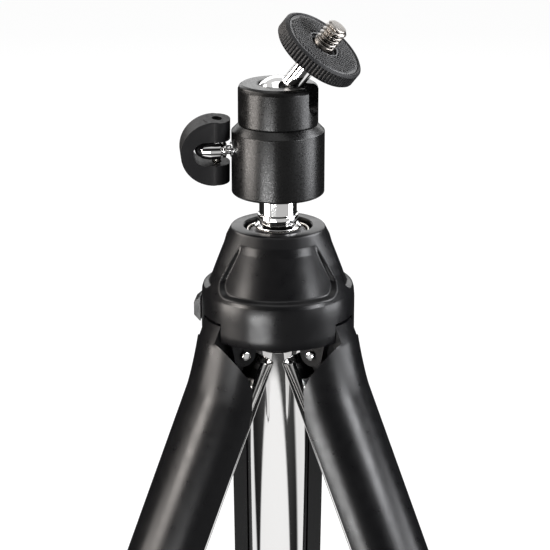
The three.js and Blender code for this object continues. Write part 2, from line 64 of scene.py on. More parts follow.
def joint_axis(name):
    return Vector(JOINTS[name]["axis"]).normalized()


def hub_frame():
    return axes_at(JOINTS["head_pan"]["pos_m"], (1, 0, 0), (0, 1, 0), (0, 0, 1))


def stem_frame():
    y, z = joint_axis("ball_tilt"), joint_axis("platform_spin")
    return axes_at(JOINTS["ball_tilt"]["pos_m"], y.cross(z), y, z)


def lock_frame(joint):
    """z out along the lock screw, x up along the bail's pin."""
    x, z = joint_axis("bail_swing"), joint_axis("lock_turn")
    return axes_at(JOINTS[joint]["pos_m"], x, z.cross(x), z)


def leg_frame(side):
    y, z = joint_axis(f"fold_{side}"), -joint_axis(f"extend_{side}")
    return axes_at(JOINTS[f"fold_{side}"]["pos_m"], y.cross(z), y, z)


def pin_frame(side):
    y = joint_axis(f"fold_{side}")
    z = Vector((0, 0, 1))
    return axes_at(JOINTS[f"fold_{side}"]["pos_m"], y.cross(z), y, z)


def azimuth_across(name):
    """The horizontal direction a quarter turn clockwise from a level joint's axis."""
    return math.atan2(-joint_axis(name).x, joint_axis(name).y)


HUB = hub_frame()
STEM = stem_frame()
LEG_AZIMUTHS = {side: azimuth_across(f"fold_{side}") for side in LEGS}
TILT_AZIMUTH = azimuth_across("ball_tilt")

# ---- Sizes in millimetres, as in the CAD model ----------------------------------------------
BARREL_BOTTOM, BARREL_TOP, COLLAR_TOP = 9.4, 29.5, 40.6
BARREL_RADIUS, COLLAR_RADIUS = 13, 11.15
BALL_RADIUS, BALL_Z = 7, COLLAR_TOP - 4.9
SOCKET_RADIUS, MOUTH_RADIUS, SLOT_HALF_WIDTH = 7.3, 5.5, 3.3
NECK_RADIUS, PLATFORM_START, PLATFORM_TOP = 2.85, 17.4, 22
PLATFORM_RADIUS, PAD_RADIUS, RIB_COUNT = 12.6, 11.3, 72
STUD_RADIUS, STUD_END, THREAD_PITCH = 3.15, 28.4, 1.27
LOCK_Z, BAIL_PIN_AT, BAIL_PIN_RADIUS, BAIL_BOSS_RADIUS = COLLAR_TOP - 18.4, 17.1, 1.1, 3.7
BAIL_OUTER, BAIL_ROUND_AT, BAIL_HALF_WIDTH = 9.5, 0.7, 3.5
BAIL_OPENING, BAIL_OPENING_AT = 3.5, 3.3
SKIRT_RADIUS, SKIRT_BOTTOM, SKIRT_WALL = 21.8, -30.3, 3.2
RECESS_RADIUS, RECESS_DEPTH = 9.6, 2.6
LEG_SLOT_HALF, LEG_SLOT_TOP = 4.8, -24.7
LUG_HALF, LUG_RADIUS, PIVOT_RADIUS, PIVOT_Z = 7.4, 3.4, 15, -34.2
PIN_RADIUS, PIN_HEAD_RADIUS = 0.9, 1.3
STRAP_LUG_AZIMUTH, STRAP_LUG_DEPTH = 174, 1.8
GAP = 0.3  # between pieces that touch
TUBE_X, TUBE_RADIUS, TUBE_TOP = -3.85, 9.5, -8
TUBE_TONGUE_TOP, TUBE_TONGUE_X, EYE_RADIUS = -0.5, -5, 3.9
SHELL_X, SHELL_RADIUS, SHELL_RIM_X, SHELL_END = -6.45, 14, -5.15, -123.5
SHELL_FLARE, FLARE_LENGTH, SHELL_SHOULDER, TONGUE_HALF, TONGUE_TOP = 2.2, 15, 0.4, 4.5, 6
CAP_END, FOOT_AXIS_END, FOOT_RADIUS = -131, -139, 9.4
EXTENSION_RADIUS, EXTENSION_END, EXTENSION_TOP = 8.2, -133.4, -50
SPLAY = math.acos(-joint_axis("extend_rear").z)


# ---- Outlines -----------------------------------------------------------------------------
def rounded(points, closed=False, steps=5):
    """The outline with each corner of (x, y, radius) turned into a curve of about that radius."""
    count = len(points)
    result = []
    for i, point in enumerate(points):
        corner = Vector(point[:2])
        ends = 0 < i < count - 1 or closed
        if len(point) < 3 or point[2] == 0 or not ends:
            result.append(tuple(corner))
            continue
        before = Vector(points[i - 1][:2]) - corner
        after = Vector(points[(i + 1) % count][:2]) - corner
        half = before.angle(after) / 2
        reach = min(point[2] / math.tan(half), 0.49 * before.length, 0.49 * after.length)
        start = corner + before.normalized() * reach
        end = corner + after.normalized() * reach
        for k in range(steps + 1):
            t = k / steps
            spot = (1 - t) ** 2 * start + 2 * t * (1 - t) * corner + t * t * end
            result.append(tuple(spot))
    return result


def arc(x, y, radius, start, end, steps):
    """Points of a circle's arc, with its angles in degrees."""
    angles = np.radians(np.linspace(start, end, steps + 1))
    return [(x + radius * math.cos(a), y + radius * math.sin(a)) for a in angles]


# ---- Meshes -------------------------------------------------------------------------------
def solid(name, vertices, faces):
    mesh = bpy.data.meshes.new(name)
    mesh.from_pydata([tuple(v) for v in vertices], [], faces)
    piece = bpy.data.objects.new(name, mesh)
    bpy.context.scene.collection.objects.link(piece)
    work = bmesh.new()
    work.from_mesh(mesh)
    bmesh.ops.remove_doubles(work, verts=work.verts, dist=1e-4)
    bmesh.ops.dissolve_degenerate(work, edges=work.edges, dist=1e-5)
    bmesh.ops.recalc_face_normals(work, faces=work.faces)
    work.to_mesh(mesh)
    work.free()
    return piece


def turned(name, profile, segments=96, closed=True, reshape=None):
    """A profile of (radius, height) turned about z; reshape(radius, angle, height) may alter it."""
    rows = len(profile)
    vertices = []
    for i in range(segments):
        angle = TAU * i / segments
        for radius, height in profile:
            if reshape:
                radius = reshape(radius, angle, height)
            vertices.append((radius * math.cos(angle), radius * math.sin(angle), height))
    faces = []
    for i in range(segments):
        here, there = i * rows, (i + 1) % segments * rows
        for j in range(rows if closed else rows - 1):
            k = (j + 1) % rows
            faces.append((here + j, there + j, there + k, here + k))
    return solid(name, vertices, faces)


def rod(name, radius, start, end, segments=64, edge=0.0):
    profile = [(0, start), (radius, start, edge), (radius, end, edge), (0, end)]
    return turned(name, rounded(profile), segments, closed=False)


def slab(name, outline, low, high, matrix=None):
    """An outline in x and y, from one height to another, moved by matrix."""
    count = len(outline)
    vertices = [(x, y, low) for x, y in outline] + [(x, y, high) for x, y in outline]
    faces = [tuple(range(count))[::-1], tuple(range(count, 2 * count))]
    faces += [(i, (i + 1) % count, count + (i + 1) % count, count + i) for i in range(count)]
    piece = solid(name, vertices, faces)
    if matrix:
        piece.data.transform(matrix)
    return piece


def side_plate(name, outline, half):
    """An outline in x and z, made into a plate centred on y = 0."""
    return slab(name, outline, -half, half, Matrix.Rotation(math.pi / 2, 4, "X"))


def carve(base, others, operation="DIFFERENCE"):
    """Joins the other pieces to base, or cuts them away, and uses them up."""
    for other in others:
        step = base.modifiers.new("cut", "BOOLEAN")
        step.operation = operation
        step.solver = "MANIFOLD"
        step.object = other
        graph = bpy.context.evaluated_depsgraph_get()
        made = bpy.data.meshes.new_from_object(base.evaluated_get(graph))
        base.modifiers.clear()
        old = base.data
        base.data = made
        bpy.data.meshes.remove(old)
        bpy.data.objects.remove(other)
    return base


def settle(piece, place, body, slot, material, *nodes, bevel=0.0, sharp=38):
    """Puts a finished piece into the row frame, on its body and in place of its CAD nodes.

    Edges sharper than sharp degrees are creased, and rounded if there is a bevel.
    """
    piece.data.transform(place)
    for polygon in piece.data.polygons:
        polygon.use_smooth = True
    piece.data.set_sharp_from_angle(angle=math.radians(sharp))
    if bevel:
        edge = piece.modifiers.new("edge", "BEVEL")
        edge.width = bevel * MM
        edge.segments = 3
        edge.limit_method = "ANGLE"
        edge.angle_limit = math.radians(sharp)
        edge.harden_normals = True
    piece.data.materials.clear()
    piece.data.materials.append(material)
    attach(piece, body)
    if nodes:
        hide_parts(*nodes)
    return piece


# ---- Materials ----------------------------------------------------------------------------
class Finish:
    """A material with one shader, fed by textures in the object's own coordinates."""

    def __init__(self, name, color, roughness, metallic=0.0, **sockets):
        self.material = bpy.data.materials.new(name)
        self.material.use_nodes = True
        self.tree = self.material.node_tree
        self.shader = self.tree.nodes["Principled BSDF"]
        self.shader.inputs["Base Color"].default_value = (*color, 1)
        self.shader.inputs["Roughness"].default_value = roughness
        self.shader.inputs["Metallic"].default_value = metallic
        for socket, value in sockets.items():
            self.shader.inputs[socket.replace("_", " ")].default_value = value
        self.place = self.tree.nodes.new("ShaderNodeTexCoord").outputs["Object"]
        self.height = None

    def noise(self, grain, detail=3.0, stretch=(1, 1, 1), rough=0.5):
        """Noise whose features are about grain millimetres across."""
        mapping = self.tree.nodes.new("ShaderNodeMapping")
        mapping.inputs["Scale"].default_value = stretch
        self.tree.links.new(self.place, mapping.inputs["Vector"])
        node = self.tree.nodes.new("ShaderNodeTexNoise")
        node.inputs["Scale"].default_value = 1 / (grain * MM)
        node.inputs["Detail"].default_value = detail
        node.inputs["Roughness"].default_value = rough
        self.tree.links.new(mapping.outputs["Vector"], node.inputs["Vector"])
        return node.outputs["Fac"]

    def bump(self, source, strength, depth):
        node = self.tree.nodes.new("ShaderNodeBump")
        node.inputs["Strength"].default_value = strength
        node.inputs["Distance"].default_value = depth * MM
        self.tree.links.new(source, node.inputs["Height"])
        if self.height:
            self.tree.links.new(self.height, node.inputs["Normal"])
        self.height = node.outputs["Normal"]
        self.tree.links.new(self.height, self.shader.inputs["Normal"])
        return self

    def spread(self, source, socket, low, high):
        """Drives a number on the shader between two values."""
        node = self.tree.nodes.new("ShaderNodeMapRange")
        node.inputs["From Min"].default_value = 0.3
        node.inputs["From Max"].default_value = 0.7
        node.inputs["To Min"].default_value = low
        node.inputs["To Max"].default_value = high
        self.tree.links.new(source, node.inputs["Value"])
        self.tree.links.new(node.outputs["Result"], self.shader.inputs[socket])
        return self

    def tint(self, source, dark, light):
        """Lets the colour wander between two shades."""
        node = self.tree.nodes.new("ShaderNodeMix")
        node.data_type = "RGBA"
        node.inputs[6].default_value = (*dark, 1)
        node.inputs[7].default_value = (*light, 1)
        self.tree.links.new(source, node.inputs[0])
        self.tree.links.new(node.outputs[2], self.shader.inputs["Base Color"])
        return self


def satin_paint():
    """Black powder coat with a fine grain, on the head."""
    look = Finish("satin_paint", (0.005, 0.005, 0.005), 0.3, Specular_IOR_Level=0.13)
    look.tint(look.noise(6), (0.0008, 0.0008, 0.0008), (0.0016, 0.0016, 0.0016))
    look.spread(look.noise(0.5, 2), "Roughness", 0.24, 0.36)
    look.bump(look.noise(0.42, 2, rough=0.6), 0.75, 0.03)
    return look.material


def moulded_plastic():
    """Black satin plastic of the crown and the leg shells."""
    look = Finish("moulded_plastic", (0.005, 0.005, 0.006), 0.36, Specular_IOR_Level=0.13)
    look.tint(look.noise(14), (0.0008, 0.0008, 0.001), (0.0016, 0.0016, 0.0018))
    look.spread(look.noise(3, 4), "Roughness", 0.27, 0.34)
    look.bump(look.noise(0.3, 2), 0.25, 0.012)
    return look.material


def matt_plastic():
    """Grainier black plastic of the bail and the platform disc."""
    look = Finish("matt_plastic", (0.007, 0.007, 0.008), 0.5, Specular_IOR_Level=0.13)
    look.tint(look.noise(5), (0.0015, 0.0015, 0.0018), (0.003, 0.003, 0.0034))
    look.spread(look.noise(0.8, 3), "Roughness", 0.42, 0.58)
    look.bump(look.noise(0.25, 3), 0.35, 0.015)
    return look.material


def chrome():
    """Bright plating with faint polishing marks along z."""
    look = Finish("chrome", (0.66, 0.655, 0.65), 0.05, 1.0)
    look.spread(look.noise(1.2, 4, (1, 1, 0.08)), "Roughness", 0.035, 0.08)
    look.bump(look.noise(9, 1), 0.06, 0.05)
    return look.material


def machined_steel(name, color):
    look = Finish(name, color, 0.24, 1.0)
    look.spread(look.noise(0.5, 3), "Roughness", 0.16, 0.34)
    look.bump(look.noise(0.3, 2), 0.15, 0.01)
    return look.material


def black_rubber():
    look = Finish("black_rubber", (0.006, 0.006, 0.006), 0.34, Specular_IOR_Level=0.45)
    look.tint(look.noise(1.5), (0.004, 0.004, 0.0045), (0.009, 0.009, 0.0095))
    look.bump(look.noise(0.2, 3), 0.3, 0.015)
    return look.material


def grey_nylon():
    look = Finish("grey_nylon", (0.03, 0.03, 0.032), 0.5)
    look.spread(look.noise(1, 3), "Roughness", 0.4, 0.6)
    look.bump(look.noise(0.4, 2), 0.2, 0.01)
    return look.material


PAINT, PLASTIC, MATT = satin_paint(), moulded_plastic(), matt_plastic()
CHROME, RUBBER, NYLON = chrome(), black_rubber(), grey_nylon()
STEEL = machined_steel("machined_steel", (0.5, 0.475, 0.44))
DARK_STEEL = machined_steel("dark_steel", (0.13, 0.12, 0.11))


# ---- Platform, stud and ball --------------------------------------------------------------
def ball_stem():
    meeting = math.degrees(math.asin(NECK_RADIUS / BALL_RADIUS))
    top = PLATFORM_START - GAP
    ball = arc(0, 0, BALL_RADIUS, -90, 89 - meeting, 40)
    neck = rounded([
        ball[-1], (NECK_RADIUS, ball[-1][1] + 0.25, 0.3), (NECK_RADIUS, top - 0.9, 0.2),
        (NECK_RADIUS + 0.7, top, 0.1), (0, top),
    ])
    piece = turned("ball_and_neck", ball[:-1] + neck, 96, closed=False)
    settle(piece, STEM, "stem", "chrome", CHROME, "ball_stem")


def camera_stud():
    """The helical thread is a wave in height that climbs one pitch a turn.

    The wave is flat at its crests and roots, and fades in over the first part of the thread.
    """
    depth, fade, tip_radius, tip_slope = 0.75, 0.6, 2.35, 1.1
    start = PLATFORM_TOP + 0.25

    def thread(radius, angle, height):
        if height < start or radius < STUD_RADIUS - 0.01:
            return radius
        phase = ((height - start) / THREAD_PITCH - angle / TAU) % 1
        groove = min(1, max(0, 1.35 * (1 - abs(2 * phase - 1)) - 0.15))
        run_in = min(1, (height - start) / fade)
        tip = tip_radius + (STUD_END - height) * tip_slope
        return min(STUD_RADIUS - depth * groove * run_in, tip)

    heights = np.arange(start, STUD_END - 0.05, 0.07)
    profile = [(0, PLATFORM_START), (STUD_RADIUS, PLATFORM_START)]
    profile += [(STUD_RADIUS, float(z)) for z in heights]
    profile += [(2.2, STUD_END - 0.02), (1.9, STUD_END), (0, STUD_END)]
    piece = turned("threaded_stud", profile, 72, closed=False, reshape=thread)
    settle(piece, STEM, "stem", "steel", DARK_STEEL, "camera_stud", sharp=60)


def platform_disc():
    """The rim's ribs run between two chamfers."""
    low, high = PLATFORM_START + 0.45, PLATFORM_TOP - 0.75
    bore, recess, rib_depth = STUD_RADIUS + GAP, PLATFORM_TOP - 1.1, 0.42

    def ribbed(radius, angle, height):
        if radius < PLATFORM_RADIUS - 0.01 or not low < height < high:
            return radius
        wave = abs(math.sin(RIB_COUNT * angle / 2))
        return radius - rib_depth * (1 - wave) ** 1.2

    edge = PLATFORM_RADIUS
    profile = rounded([
        (bore, PLATFORM_START), (6.2, PLATFORM_START, 0.2), (6.6, PLATFORM_START + 0.5, 0.2),
        (10.6, PLATFORM_START + 0.5, 0.2), (11, PLATFORM_START, 0.2),
        (edge - 0.45, PLATFORM_START, 0.2),
    ])
    profile += [(edge, low), (edge, low + 0.01), (edge, high - 0.01), (edge, high)]
    profile += rounded([
        (edge - 0.05, high + 0.05), (edge - 0.7, PLATFORM_TOP - 0.15, 0.3),
        (PAD_RADIUS + 0.5, PLATFORM_TOP - 0.15, 0.1), (PAD_RADIUS + 0.15, PLATFORM_TOP - 0.45),
        (PAD_RADIUS + 0.15, recess), (bore, recess),
    ])
    piece = turned("knurled_disc", profile, RIB_COUNT * 8, reshape=ribbed)
    settle(piece, STEM, "platform", "matte_plastic", MATT, "platform_disc", sharp=32)


def platform_pad():
    """A disc whose top is a field of small four-sided points."""
    pitch, rise = 1.0, 0.5
    hole, rim = 4.25, PAD_RADIUS - 0.35
    base = PLATFORM_TOP - 0.05 - rise
    count = int(2 * PAD_RADIUS / pitch) + 2
    body = turned("pad_body", rounded([
        (hole, PLATFORM_TOP - 1.0), (PAD_RADIUS, PLATFORM_TOP - 1.0),
        (PAD_RADIUS, base + 0.1, 0.12), (rim, base + 0.1, 0.05), (rim, base),
        (hole + 0.35, base), (hole + 0.35, base + 0.2, 0.1), (hole, base + 0.2, 0.1),
    ], closed=True), 144)
    vertices, faces = [], []
    for i in range(-count, count + 1):
        for j in range(-count, count + 1):
            x, y = (i + j) * pitch / 2, (i - j) * pitch / 2
            if not hole + 0.75 < math.hypot(x, y) < rim - 0.5:
                continue
            first = len(vertices)
            for half, z in ((0.48 * pitch, base - 0.02), (0.14 * pitch, base + rise)):
                vertices += [(x + a * half, y + b * half, z)
                             for a, b in ((-1, 0), (0, -1), (1, 0), (0, 1))]
            sides = [(k, (k + 1) % 4, 4 + (k + 1) % 4, 4 + k) for k in range(4)]
            for face in [*sides, (4, 5, 6, 7), (3, 2, 1, 0)]:
                faces.append(tuple(first + k for k in face))
    grip = solid("pad_grip", vertices, faces)
    settle(body, STEM, "platform", "rubber", RUBBER, "platform_pad", sharp=30)
    settle(grip, STEM, "platform", "rubber", RUBBER, sharp=20)


# ---- Ball head ----------------------------------------------------------------------------
def collar():
    socket_top = math.degrees(math.acos(MOUTH_RADIUS / SOCKET_RADIUS))
    socket = arc(0, BALL_Z, SOCKET_RADIUS, socket_top, 0, 16)
    end = BARREL_TOP - 4
    profile = rounded([
        (SOCKET_RADIUS, end), (9, end), (9, BARREL_TOP - 0.9),
        (COLLAR_RADIUS - 0.7, BARREL_TOP - 0.9), (COLLAR_RADIUS, BARREL_TOP + 0.1, 0.3),
        (COLLAR_RADIUS, COLLAR_TOP - 1.5, 0.5), (COLLAR_RADIUS - 0.35, COLLAR_TOP - 0.55, 0.8),
        (COLLAR_RADIUS - 1.15, COLLAR_TOP, 0.4), (MOUTH_RADIUS + 0.5, COLLAR_TOP, 0.3),
        (MOUTH_RADIUS, COLLAR_TOP - 0.5, 0.2),
    ]) + socket
    body = turned("collar_ring", profile, 160)
    outline = arc(0, BALL_Z, SLOT_HALF_WIDTH, 180, 360, 28)
    outline += [(SLOT_HALF_WIDTH, COLLAR_TOP + 3), (-SLOT_HALF_WIDTH, COLLAR_TOP + 3)]
    slot = slab("slot", outline, 0, 16, Matrix.Rotation(math.pi / 2, 4, "X"))
    slot.data.transform(Matrix.Rotation(math.pi / 2 + TILT_AZIMUTH, 4, "Z"))
    carve(body, [slot])
    settle(body, HUB, "head", "black_paint", PAINT, "collar", bevel=0.28)


def barrel():
    top = BARREL_TOP - 0.25
    profile = rounded([
        (0, BARREL_BOTTOM), (BARREL_RADIUS - 0.5, BARREL_BOTTOM, 0.5),
        (BARREL_RADIUS, BARREL_BOTTOM + 0.5, 0.5), (BARREL_RADIUS, top - 1.9, 0.35),
        (BARREL_RADIUS - 1.9, top, 0.25), (9.3, top, 0.1), (9.3, BARREL_TOP - 4.3),
        (7.2, BARREL_TOP - 4.3), (7.2, LOCK_Z - 3.4), (0, LOCK_Z - 3.4),
    ])
    body = turned("barrel_body", profile, 160, closed=False)
    out = joint_axis("lock_turn")
    turn = Matrix.Translation((0, 0, LOCK_Z)) @ out.to_track_quat("Z", "Y").to_matrix().to_4x4()
    bore = rod("bore", 2.5, 3, 20, 48)
    bore.data.transform(turn)
    post_bore = rod("post_bore", 4.5, BARREL_BOTTOM - 1, BARREL_BOTTOM + 5, 64)
    carve(body, [bore, post_bore])
    settle(body, HUB, "head", "black_paint", PAINT, "barrel", bevel=0.2)


def lock_screw():
    profile = rounded([
        (0, 8.8), (2.2, 8.8), (2.2, 13.2), (1.4, 13.5, 0.1), (1.4, 14.3, 0.2),
        (2.25, 14.6, 0.15), (2.35, 15.4, 0.2), (1.85, 15.55, 0.1), (1.85, 15.95, 0.1),
        (2.8, 16.1, 0.2), (2.85, 19, 2), (2.4, 21.2, 2), (1.4, 22.7, 1.2),
        (0.5, 23.2, 0.5), (0, 23.2),
    ], steps=6)
    body = turned("bullet_screw", profile, 96, closed=False)
    hole = rod("hole", BAIL_PIN_RADIUS + GAP, -6, 6, 40)
    hole.data.transform(Matrix.Translation((0, 0, BAIL_PIN_AT)) @ Matrix.Rotation(TAU / 4, 4, "Y"))
    carve(body, [hole])
    settle(body, lock_frame("lock_turn"), "lock", "chrome", CHROME, "lock_screw", bevel=0.12)


def bail():
    """A thick C with a boss at each end. Its frame has x along the pin."""
    end = BAIL_OUTER - 0.2
    outer = [(-end, -0.6), *arc(0, BAIL_ROUND_AT, BAIL_OUTER, 180, 0, 56), (end, -0.6)]
    round_end = arc(0, BAIL_OPENING_AT, BAIL_OPENING, 0, 180, 30)
    opening = [(BAIL_OPENING, -6), *round_end, (-BAIL_OPENING, -6)]
    body = side_plate("bail_c", outer, BAIL_HALF_WIDTH)
    bosses = rod("bosses", BAIL_BOSS_RADIUS, -end, end, 72)
    bosses.data.transform(Matrix.Rotation(TAU / 4, 4, "Y"))
    carve(body, [bosses], "UNION")
    pin_hole = rod("pin_hole", BAIL_PIN_RADIUS + GAP, -12, 12, 40)
    pin_hole.data.transform(Matrix.Rotation(TAU / 4, 4, "Y"))
    carve(body, [side_plate("opening", opening, 7), pin_hole])
    place = lock_frame("bail_swing")
    settle(body, place, "bail", "matte_plastic", MATT, "lock_bail", bevel=0.7, sharp=30)
    pin = rod("bail_rivet", BAIL_PIN_RADIUS, -end + 0.8, end - 0.8, 40, 0.2)
    pin.data.transform(Matrix.Rotation(TAU / 4, 4, "Y"))
    settle(pin, place, "bail", "steel", STEEL, "bail_pin")


# ---- Post and bearing ---------------------------------------------------------------------
def post():
    profile = rounded([
        (0, -28), (4.2, -28), (4.2, -1), (6.2, -1, 0.2), (6.6, -0.6, 0.3), (6.6, 0, 0.4),
        (5.7, 0.75, 0.3), (5.25, 0.95, 0.1), (5.25, 1.35, 0.1), (5.75, 1.5, 0.15),
        (5.75, 3.35, 0.15), (5.3, 3.6, 0.1), (5.3, BARREL_BOTTOM - 0.15),
        (4.2, BARREL_BOTTOM - 0.15), (4.2, BARREL_BOTTOM + 4.7), (0, BARREL_BOTTOM + 4.7),
    ])
    settle(turned("post_spindle", profile, 128, closed=False),
           HUB, "head", "chrome", CHROME, "post")


def bearing():
    seat = -RECESS_DEPTH + GAP
    bush = turned("crown_bush", rounded([
        (4.5, -22), (5.9, -22), (5.9, seat), (8, seat), (8, seat + 0.5, 0.2),
        (7.2, seat + 0.9, 0.2), (4.6, seat + 0.9, 0.2),
    ], closed=True), 96)
    settle(bush, HUB, "hub", "nylon", NYLON, "post_bush")
    ring = turned("snap_ring", rounded([
        (8.35, seat + 0.2, 0.2), (8.85, seat + 0.2, 0.2), (8.85, seat + 1.2, 0.22),
        (8.35, seat + 1.2, 0.22),
    ], closed=True), 128)
    settle(ring, HUB, "hub", "steel", STEEL, "retaining_ring")


# ---- Crown --------------------------------------------------------------------------------
FRAME_CURVE = ((0, 12.7), (0.7, 13.5), (3, 14.7), (6, 16.3), (9, 17.9), (12, 19.3),
               (14.5, 20.2), (16.5, 21), (18.4, 21.6), (20, SKIRT_RADIUS), (40, SKIRT_RADIUS))
PANEL_CURVE = ((0, 12.7), (0.7, 13.5), (3, 14.65), (5.3, 15.3), (7.6, 16.2), (12.2, 17.95),
               (16.5, 19.5), (18.4, 21.6), (20, SKIRT_RADIUS), (40, SKIRT_RADIUS))
PANEL_BOTTOM, PANEL_CORNER = 17, 4.2


OUTER_WALL = 1000  # stands for the radius of the rows that crown_surface shapes


def along(curve, depth):
    """The radius of a curve of (depth, radius) at a depth below the crown's top."""
    depths, radii = zip(*curve)
    return float(np.interp(depth, depths, radii))


def panel_share(angle, depth):
    """0 outside the three shallow panels and 1 inside them, with a soft step between.

    A panel faces away from each leg and widens downward, and its lower corners are round.
    """
    cheeks = [LEG_AZIMUTHS[side] + math.pi for side in LEGS]
    off = min(abs((angle - c + math.pi) % TAU - math.pi) for c in cheeks)
    half = math.radians(np.interp(depth, (3, 13), (45.5, 54.5)))
    across = (off - half) * along(PANEL_CURVE, depth)
    down = depth - PANEL_BOTTOM
    a, b = across + PANEL_CORNER, down + PANEL_CORNER
    edge = math.hypot(max(a, 0), max(b, 0)) + min(max(a, b), 0) - PANEL_CORNER
    t = min(1, max(0, (0.35 - edge) / 1.0))
    return t * t * (3 - 2 * t)


def crown_surface(radius, angle, height):
    """The outer wall stands out round the panels; other radii stay as they are."""
    if radius != OUTER_WALL:
        return radius
    depth = -height
    share = panel_share(angle, depth)
    return along(FRAME_CURVE, depth) * (1 - share) + along(PANEL_CURVE, depth) * share


def crown():
    inside = SKIRT_RADIUS - SKIRT_WALL
    profile = [(6.2, -RECESS_DEPTH), (6.2, -22), (8, -22), (8, -27), (9.4, -27), (9.4, -8),
               (12, -8), (inside - 1.6, -19), (inside, -23), (inside, SKIRT_BOTTOM),
               (SKIRT_RADIUS - 0.35, SKIRT_BOTTOM), (SKIRT_RADIUS - 0.1, SKIRT_BOTTOM + 0.1)]
    profile += [(OUTER_WALL, float(z)) for z in np.linspace(SKIRT_BOTTOM + 0.35, -18.6, 6)]
    profile += [(OUTER_WALL, float(z)) for z in np.linspace(-18.3, -0.75, 74)]
    profile += [(13.35, -0.42), (13.1, -0.15), (12.75, 0), (RECESS_RADIUS + 0.3, 0),
                (RECESS_RADIUS, -0.3), (RECESS_RADIUS, -RECESS_DEPTH)]
    body = turned("crown_body", profile, 432, reshape=crown_surface)
    cutters = []
    lugs = []
    for side in LEGS:
        turn = Matrix.Rotation(LEG_AZIMUTHS[side], 4, "Z")
        slot = side_plate("slot", rounded([
            (10, LEG_SLOT_TOP, 0.8), (10, -44), (26, -44), (26, LEG_SLOT_TOP),
        ]), LEG_SLOT_HALF)
        slot.data.transform(turn)
        bore = rod("pin_bore", PIN_RADIUS + GAP, -LUG_HALF - 1, LUG_HALF + 1, 40)
        bore.data.transform(turn @ Matrix.Translation((PIVOT_RADIUS, 0, PIVOT_Z))
                            @ Matrix.Rotation(TAU / 4, 4, "X"))
        cutters += [slot, bore]
        for hand in (-1, 1):
            middle = hand * (LEG_SLOT_HALF + LUG_HALF) / 2
            lug = side_plate("lug", [
                *arc(PIVOT_RADIUS, PIVOT_Z, LUG_RADIUS, 180, 360, 24),
                (PIVOT_RADIUS + LUG_RADIUS + 2, LEG_SLOT_TOP), (9.1, LEG_SLOT_TOP + 3),
                (9.1, -26.2),
            ], (LUG_HALF - LEG_SLOT_HALF) / 2)
            lug.data.transform(turn @ Matrix.Translation((0, middle, 0)))
            lugs.append(lug)
    carve(body, lugs, "UNION")
    carve(body, cutters)
    settle(body, HUB, "hub", "black_plastic", PLASTIC, "crown", bevel=0.35, sharp=44)


def crown_trim():
    cap = turned("underside_cap", rounded([
        (0, -31.2), (6.5, -31.2, 1), (9, -30, 0.5), (9, -27.3), (7.8, -27.3), (7.8, -29.4),
        (0, -29.4),
    ]), 72, closed=False)
    settle(cap, HUB, "hub", "black_plastic", PLASTIC, "hub_cap")
    start = SKIRT_RADIUS + 0.1
    end = start + STRAP_LUG_DEPTH + 0.1
    lug = side_plate("strap_eye", rounded([
        (start, -21.2, 0.2), (end, -22.8, 0.5), (end, -26.7, 0.5), (start, -28.8, 0.2),
    ], closed=True), 3.3)
    lug.data.transform(Matrix.Rotation(math.radians(STRAP_LUG_AZIMUTH), 4, "Z"))
    settle(lug, HUB, "hub", "black_plastic", PLASTIC, "strap_lug", bevel=0.3)
    for side in LEGS:
        inner = LUG_HALF + GAP
        half = [(PIN_RADIUS, -inner), (PIN_HEAD_RADIUS, -inner, 0.1),
                (PIN_HEAD_RADIUS, -inner - 0.8, 0.4), (0, -inner - 0.9)]
        profile = [(r, -z, *rest) for r, z, *rest in half][::-1] + half
        pin = turned(f"rivet_{side}", rounded(profile), 48, closed=False)
        pin.data.transform(Matrix.Rotation(TAU / 4, 4, "X"))
        settle(pin, pin_frame(side), "hub", "chrome", CHROME, f"hinge_pin_{side}")


# ---- Legs ---------------------------------------------------------------------------------
def shell_round(name):
    """The outer round of the shell and its tongue; the top leans outward."""
    stations = [TONGUE_TOP + 1, *np.linspace(0, -16, 24), *np.linspace(-22, SHELL_END, 8)]
    count = 128
    vertices, faces = [], []
    for z in stations:
        rise = min(1, max(0, (FLARE_LENGTH + z) / FLARE_LENGTH))
        shift = SHELL_X + SHELL_FLARE * rise ** 1.4
        for i in range(count):
            angle = TAU * i / count
            vertices.append((shift + SHELL_RADIUS * math.cos(angle),
                             SHELL_RADIUS * math.sin(angle), float(z)))
    for row in range(len(stations) - 1):
        for i in range(count):
            a, b = row * count + i, row * count + (i + 1) % count
            faces.append((a, b, b + count, a + count))
    faces.append(tuple(range(count)))
    faces.append(tuple(range(len(vertices) - count, len(vertices))))
    return solid(name, vertices, faces)


def leg_shell(side):
    sides = side_plate("profile", rounded([
        (13, SHELL_SHOULDER), (8.7, SHELL_SHOULDER, 0.4), (0.6, -5, 1.6), (-2.4, -8.2, 2.4),
        (-4.4, -14, 4), (SHELL_RIM_X, -18.5, 4), (SHELL_RIM_X, SHELL_END), (13, SHELL_END),
    ], closed=True, steps=8), 16)
    tongue = side_plate("tongue", rounded([
        *arc(0, 0, EYE_RADIUS, 110, 215, 20), (-2.6, TUBE_TOP + GAP), (13, TUBE_TOP + GAP),
        (13, TONGUE_TOP - 1.2), (9.7, TONGUE_TOP - 0.7, 0.8), (8.4, TONGUE_TOP, 0.5),
        (4.6, TONGUE_TOP, 1),
    ], closed=True), TONGUE_HALF)
    carve(sides, [tongue], "UNION")
    body = shell_round(f"shell_{side}")
    carve(body, [sides], "INTERSECT")
    bore = rod("bore", TUBE_RADIUS + GAP, SHELL_END - 1, TUBE_TOP + GAP, 96)
    bore.data.transform(Matrix.Translation((TUBE_X, 0, 0)))
    eye = rod("eye", PIN_RADIUS + GAP, -LUG_HALF, LUG_HALF, 40)
    eye.data.transform(Matrix.Rotation(TAU / 4, 4, "X"))
    carve(body, [bore, eye])
    settle(body, leg_frame(side), f"leg_{side}", "black_plastic", PLASTIC,
           f"leg_shell_{side}", bevel=0.6, sharp=32)


